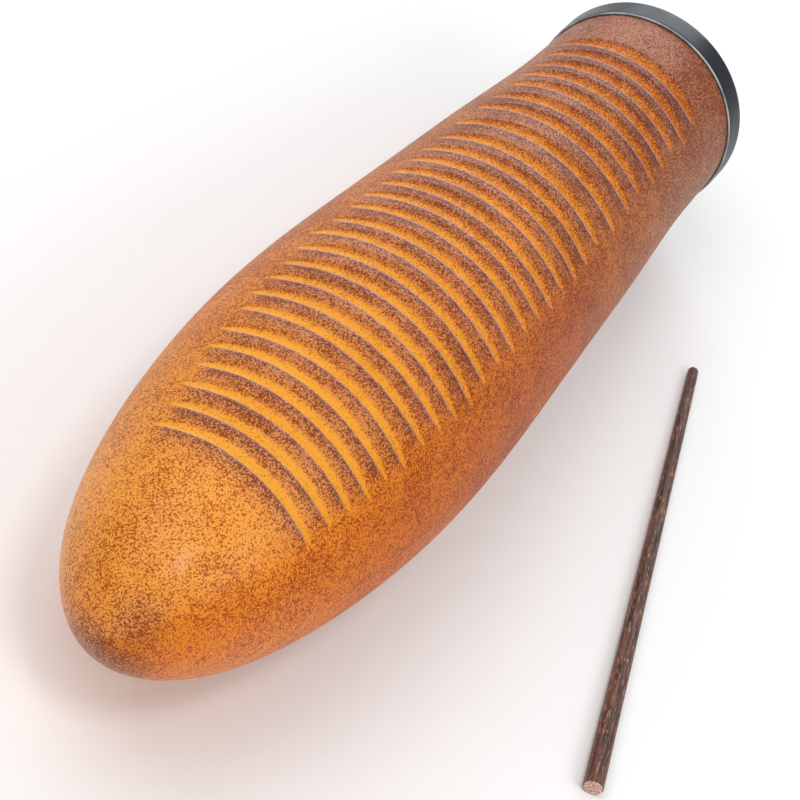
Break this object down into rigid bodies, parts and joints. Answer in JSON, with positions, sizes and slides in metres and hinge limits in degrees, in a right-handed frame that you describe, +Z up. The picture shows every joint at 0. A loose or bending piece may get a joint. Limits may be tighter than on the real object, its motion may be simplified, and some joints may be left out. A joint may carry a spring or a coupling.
{
  "type": "guiro with scraper",
  "caption": "Hollow ribbed percussion gourd shape with a closed rounded nose and an open mouth edged in rubber, lying beside its tapered wooden scraper.",
  "frame": {"origin": "on the floor, under the middle of the box around the guiro and its scraper", "axes": "+X along the guiro from the mouth to the nose, +Y towards the scraper, +Z up through the middle of the ribs"},
  "size_m": [0.3816, 0.1936, 0.1051],
  "materials": {
    "gelcoat": "satin, dense dark brown speckle over amber orange",
    "seam_tape": "rough laminate",
    "rim_rubber": "satin black",
    "scraper_wood": "fine sanded, open dark grain"
  },
  "bodies": {
    "guiro": {"ribbed_half_shell": "gelcoat", "plain_half_shell": "gelcoat", "seam_tape_left": "seam_tape", "seam_tape_right": "seam_tape", "rim_ring": "rim_rubber"},
    "scraper": {"scraper": "scraper_wood"}
  },
  "joints": [
    {"name": "scraper_lift", "type": "slide", "parent": "guiro", "child": "scraper", "axis": [0, 0, 1], "range_m": [0, 0.25]}
  ]
}
